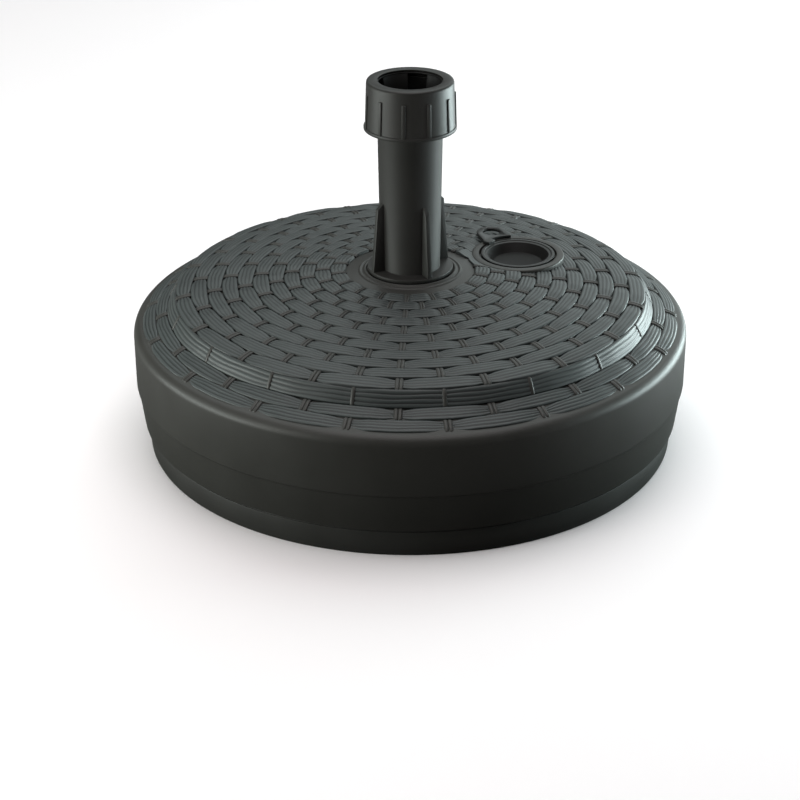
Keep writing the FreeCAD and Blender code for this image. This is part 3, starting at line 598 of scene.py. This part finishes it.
# Painted shade: faces of the bore and the mouth's cone that look inwards get a near-black material, standing
# in for the shade deep inside the tube.
bore_painted_shade = moulded_plastic(
    "stand_bore_shade_paint", (0.0020, 0.0020, 0.0019), (0.0035, 0.0034, 0.0032), (0.006, 0.006, 0.006),
    rough=0.6, grain_size=1200.0, grain_depth=0.03 * mm, wear=0.1, specular=0.15,
)
stand.data.materials.append(bore_painted_shade)
for face in stand.data.polygons:
    if face.center.xy.length < pole_bore + 5.3 * mm and face.normal.xy.dot(face.center.xy) < 0:
        face.material_index = 1
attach(stand, "stand")
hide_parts("stand_tube")

# ---------------------------------------------------------------- collet
# A split sleeve in the mouth of the tube. Its top ring hangs under the nut's lip, and four
# fingers with a slow taper are pressed against the pole. Moulded in smooth black nylon.
collet_plastic = moulded_plastic(
    "collet_nylon", (0.006, 0.0058, 0.0055), (0.010, 0.0098, 0.0092), (0.022, 0.022, 0.021),
    rough=0.48, grain_size=1500.0, grain_depth=0.04 * mm, wear=0.3, spread=0.1,
)
collet_low, collet_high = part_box("clamp_collet")
collet_top = collet_high.z
collet_ring = 33.4 * mm
ring_under = collet_top - 1.6 * mm
grip_radius = pole_bore + 0.2 * mm
flare = grip_radius + 3.4 * mm
collet_mesh = ring_mesh([
    (flare, ring_under), (collet_ring, ring_under), (collet_ring, collet_top),
    (flare + 0.4 * mm, collet_top), (flare, collet_top - 0.4 * mm),
], steps=96)
finger_turn = full_turn / 4 - 17.0 * mm / (grip_radius + 2.0 * mm)
for count in range(4):
    middle_turn = math.radians(-14 + 45) + full_turn * count / 4
    finger = [(grip_radius, collet_low.z), (pole_bore + 2.67 * mm, collet_low.z),
              (pole_bore + 5.16 * mm, ring_under + 0.4 * mm), (flare, ring_under + 0.4 * mm),
              (grip_radius, collet_low.z + 12 * mm)]
    corners = [collet_mesh.verts.new((radius, 0.0, height)) for radius, height in finger]
    bmesh.ops.rotate(collet_mesh, cent=(0, 0, 0), verts=corners,
                     matrix=Matrix.Rotation(middle_turn - finger_turn / 2, 3, "Z"))
    section = collet_mesh.faces.new(corners)
    bmesh.ops.spin(collet_mesh, geom=[section, *section.edges, *section.verts], cent=(0, 0, 0),
                   axis=(0, 0, 1), angle=finger_turn, steps=16)
bmesh.ops.recalc_face_normals(collet_mesh, faces=collet_mesh.faces)
soften_corners(collet_mesh, 0.35 * mm, segments=2, least=math.radians(40))
collet = finished(collet_mesh, "collet", collet_plastic)
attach(collet, "collet")
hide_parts("clamp_collet")

# ---------------------------------------------------------------- clamp nut
# A slightly conical collar with a lip at the top, a band round its lower edge and eleven upright
# grip ribs. It screws down on the head of the tube and presses the collet on the pole.
nut_low, nut_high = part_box("clamp_nut")
nut_top = nut_high.z
nut_foot = nut_low.z
band_top = nut_foot + 3.0 * mm
nut_bore = head_root + 2.4 * mm
nut_mouth = flare + 0.3 * mm
nut_ceiling = nut_top - 1.8 * mm
nut_upper = nut_bore + 3.9 * mm
nut_lower = nut_upper + 1.4 * mm
nut_mesh = ring_mesh([
    (nut_bore, nut_foot), (nut_lower + 1.2 * mm, nut_foot), (nut_lower + 1.2 * mm, band_top),
    (nut_lower, band_top), (nut_upper, nut_top), (nut_mouth, nut_top), (nut_mouth, nut_ceiling),
    (nut_bore, nut_ceiling),
], steps=128)
rolled = [edge for edge in nut_mesh.edges
          if all(abs(vert.co.z - nut_top) < 1e-6 and vert.co.xy.length > nut_mouth + 1 * mm
                 for vert in edge.verts)]
bmesh.ops.bevel(nut_mesh, geom=rolled, offset=2.2 * mm, affect="EDGES", segments=5, profile=0.5, material=-1)
soften_corners(nut_mesh, 0.5 * mm, segments=2, least=math.radians(50))
grip_top = nut_top - 11.5 * mm
grip_ribs = 11
for count in range(grip_ribs):
    grip = bmesh.ops.create_cube(nut_mesh, size=1.0)["verts"]
    bmesh.ops.scale(nut_mesh, vec=(3.4 * mm, 3.3 * mm, grip_top - band_top + 1 * mm), verts=grip)
    for vert in grip:
        if vert.co.z < 0:
            vert.co.x += 0.9 * mm
    edges = list({edge for vert in grip for edge in vert.link_edges})
    rounded = bmesh.ops.bevel(nut_mesh, geom=edges, offset=0.7 * mm, affect="EDGES", segments=3,
                              profile=0.5, material=-1)
    grip = list({vert for face in rounded["faces"] for vert in face.verts})
    bmesh.ops.translate(nut_mesh, vec=(nut_upper - 0.1 * mm, 0, (grip_top + band_top) / 2), verts=grip)
    bmesh.ops.rotate(nut_mesh, cent=(0, 0, 0), matrix=Matrix.Rotation(full_turn * count / grip_ribs, 3, "Z"),
                     verts=grip)
add_thread(nut_mesh, nut_bore, -thread_rise, head_thread_start - nut_pitch / 2, nut_pitch, head_turns)
nut = finished(nut_mesh, "nut", stand_plastic)
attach(nut, "nut")
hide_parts("clamp_nut")

# ---------------------------------------------------------------- filler plug
# A soft plug pushed into the boss. Its rim has a raised edge round a finger cup, and a flat tab
# with an eye grows from it over the ring, to hook a finger in. Low-density polyethylene.
plug_plastic = moulded_plastic(
    "plug_polyethylene", (0.014, 0.014, 0.0135), (0.021, 0.0215, 0.0205), (0.05, 0.052, 0.050),
    rough=0.45, grain_size=1300.0, grain_depth=0.05 * mm, spread=0.1, specular=0.35,
)
plug_low, plug_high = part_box("filler_plug")
plug_rim = 33.7 * mm
plug_edge = boss_top + 0.2 * mm
plug_mesh = ring_mesh([
    (0.0, plug_low.z), (28.5 * mm, plug_low.z), (31.7 * mm, plug_low.z + 3.2 * mm),
    (31.7 * mm, boss_top - 4.7 * mm), (plug_rim, boss_top - 4.7 * mm), (plug_rim, plug_edge),
    (31.1 * mm, plug_edge), (30.7 * mm, plug_edge - 0.9 * mm), (28.3 * mm, plug_edge - 0.9 * mm),
    (22.5 * mm, plug_edge - 9.0 * mm), (0.0, plug_edge - 9.0 * mm),
], steps=128)
soften_corners(plug_mesh, 0.4 * mm, segments=3, least=math.radians(30))
plug = finished(plug_mesh, "plug", plug_plastic)
# Painted shade: the upward faces inside the finger cup get a much darker material, standing in for the shade
# in the cup's hollow.
painted_shade_in_cup = moulded_plastic(
    "cup_painted_shade", (0.0038, 0.0033, 0.0030), (0.006, 0.0055, 0.005), (0.02, 0.019, 0.018),
    rough=0.55, grain_size=1300.0, grain_depth=0.05 * mm, wear=0.2, spread=0.1, specular=0.2,
)
plug.data.materials.append(painted_shade_in_cup)
cup_rim = 28.0 * mm
for face in plug.data.polygons:
    if face.center.xy.length < cup_rim and face.normal.z > 0.05:
        face.material_index = 1

tab_under = boss_top + 0.3 * mm
tab_top = plug_high.z
tab_inner = 36.6 * mm
eye = (47.2 * mm, -17.6 * mm)
eye_edge = 14.0 * mm
neck_half = 4.4 * mm


def slab(name, corners, low, high, rounding):
    """A flat plate with the given outline and rounded edges."""
    mesh = bmesh.new()
    face = mesh.faces.new([mesh.verts.new((x, y, low)) for x, y in corners])
    grown = bmesh.ops.extrude_face_region(mesh, geom=[face])["geom"]
    bmesh.ops.translate(mesh, vec=(0, 0, high - low),
                        verts=[item for item in grown if isinstance(item, bmesh.types.BMVert)])
    bmesh.ops.recalc_face_normals(mesh, faces=mesh.faces)
    soften_corners(mesh, rounding, segments=3)
    return finished(mesh, name, plug_plastic)


tab_outline = arc_points((0.0, 0.0), tab_inner, -40, 7, 12) + arc_points(eye, eye_edge, 61, -116, 32)
tab = slab("pull_tab", tab_outline, tab_under, tab_top, 0.6 * mm)


def strip_outline(near, far, half):
    """Corners of a strip that runs straight out from the plug."""
    return [(near, -half), (far, -half), (far, half), (near, half)]


neck = slab("neck", strip_outline(31.4 * mm, 39.0 * mm, neck_half),
            tab_under + 0.02 * mm, tab_top - 0.02 * mm, 0.5 * mm)
root = slab("root", strip_outline(31.3 * mm, 33.2 * mm, neck_half),
            plug_edge - 2.0 * mm, tab_top - 0.2 * mm, 0.4 * mm)
hole = slab("hole", arc_points(eye, 8.4 * mm, 0, 354, 59), tab_under - 5 * mm, tab_top + 5 * mm, 0.1 * mm)
combine(tab, neck, "UNION")
combine(tab, root, "UNION")
combine(tab, hole, "DIFFERENCE")
tab_turn = math.radians(137.0)
tab.data.transform(Matrix.Translation((*boss_centre, 0)) @ Matrix.Rotation(tab_turn, 4, "Z"))
plug.data.transform(Matrix.Translation((*boss_centre, 0)))
for piece in (plug, tab):
    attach(piece, "plug")
    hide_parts("filler_plug")

# ---------------------------------------------------------------- floor, light and camera
# A white studio: a pale floor that reflects as dark cloth with a paler card on each side, soft
# lights above and behind, dim low ones at both sides, and a long lens looking down from the front.
floor_mesh = bmesh.new()
bmesh.ops.create_grid(floor_mesh, x_segments=1, y_segments=1, size=12.0)
floor_paint = bpy.data.materials.new("floor_paint")
floor_paint.use_nodes = True
floor_nodes, floor_links = floor_paint.node_tree.nodes, floor_paint.node_tree.links
floor_shader = floor_nodes["Principled BSDF"]
floor_shader.inputs["Roughness"].default_value = 0.9
floor_shader.inputs["Specular IOR Level"].default_value = 0.0
floor_tone = floor_nodes.new("ShaderNodeMix")
floor_tone.data_type = "RGBA"
floor_tone.inputs["A"].default_value = (0.10, 0.10, 0.095, 1)
floor_tone.inputs["B"].default_value = (0.97, 0.93, 0.94, 1)
floor_ray = floor_nodes.new("ShaderNodeLightPath")
floor_place = floor_nodes.new("ShaderNodeTexCoord")
floor_parts = floor_nodes.new("ShaderNodeSeparateXYZ")
floor_links.new(floor_place.outputs["Object"], floor_parts.inputs["Vector"])
floor_side = floor_ray.outputs["Is Camera Ray"]
for edge, strongest in ((0.7, 0.85), (-0.7, 0.28)):
    pale = floor_nodes.new("ShaderNodeMapRange")
    pale.interpolation_type = "SMOOTHSTEP"
    pale.inputs["From Min"].default_value = edge * 0.3
    pale.inputs["From Max"].default_value = edge
    pale.inputs["To Max"].default_value = strongest
    floor_links.new(floor_parts.outputs["X"], pale.inputs["Value"])
    larger = floor_nodes.new("ShaderNodeMath")
    larger.operation = "MAXIMUM"
    floor_links.new(floor_side, larger.inputs[0])
    floor_links.new(pale.outputs["Result"], larger.inputs[1])
    floor_side = larger.outputs[0]
floor_links.new(floor_side, floor_tone.inputs["Factor"])
floor_links.new(floor_tone.outputs["Result"], floor_shader.inputs["Base Color"])
floor_shader.inputs["Emission Color"].default_value = (1.0, 1.0, 1.0, 1)
floor_glow = floor_nodes.new("ShaderNodeMath")
floor_glow.operation = "MULTIPLY"
floor_glow.inputs[1].default_value = 0.04
floor_links.new(floor_ray.outputs["Is Camera Ray"], floor_glow.inputs[0])
floor_links.new(floor_glow.outputs[0], floor_shader.inputs["Emission Strength"])
floor = finished(floor_mesh, "floor", floor_paint)

world = bpy.data.worlds.new("studio")
bpy.context.scene.world = world
world.use_nodes = True
world.node_tree.nodes["Background"].inputs["Color"].default_value = (1.0, 0.98, 0.95, 1)
world.node_tree.nodes["Background"].inputs["Strength"].default_value = 0.028


def soft_light(name, place, target, width, height, power, colour):
    lamp = bpy.data.lights.new(name, "AREA")
    lamp.shape = "RECTANGLE"
    lamp.size = width
    lamp.size_y = height
    lamp.energy = power
    lamp.color = colour
    holder = bpy.data.objects.new(name, lamp)
    bpy.context.scene.collection.objects.link(holder)
    holder.location = place
    holder.rotation_euler = (Vector(target) - Vector(place)).to_track_quat("-Z", "Y").to_euler()


aim = (0.0, 0.0, 0.12)
low_aim = (0.0, 0.0, 0.06)
soft_light("above_behind", (0.0, 2.6, 3.4), aim, 4.5, 3.0, 77.0, (0.91, 1.0, 0.985))
soft_light("above", (0.0, -0.3, 4.5), aim, 4.0, 4.0, 125.0, (1.0, 0.96, 0.965))
soft_light("left", (-1.57, -0.28, 0.55), aim, 1.7, 0.9, 5.0, (0.90, 1.0, 0.97))
soft_light("front_left", (-1.3, -0.95, 0.5), aim, 0.6, 0.9, 5.0, (1.0, 0.98, 0.93))
soft_light("low_left", (-1.15, -0.25, 0.16), low_aim, 1.0, 0.28, 8.0, (0.93, 1.0, 0.95))
soft_light("right", (1.54, 0.41, 0.55), aim, 1.2, 0.9, 2.0, (0.80, 1.0, 1.0))
soft_light("low_right", (1.10, 0.40, 0.16), low_aim, 1.0, 0.28, 19.0, (0.84, 1.0, 1.0))
soft_light("back_right", (0.8, 1.38, 0.6), aim, 1.5, 0.9, 5.0, (0.9, 1.0, 1.0))

camera_data = bpy.data.cameras.new("camera")
camera_data.sensor_width = 36.0
camera_data.lens = 90.06
camera_data.shift_x = -0.0127
camera = bpy.data.objects.new("camera", camera_data)
bpy.context.scene.collection.objects.link(camera)
camera.location = (0.0, -1.6659, 0.8544)
camera.rotation_euler = (math.radians(63.526), 0.0, 0.0)
bpy.context.scene.camera = camera
bpy.context.scene.view_settings.view_transform = "Standard"
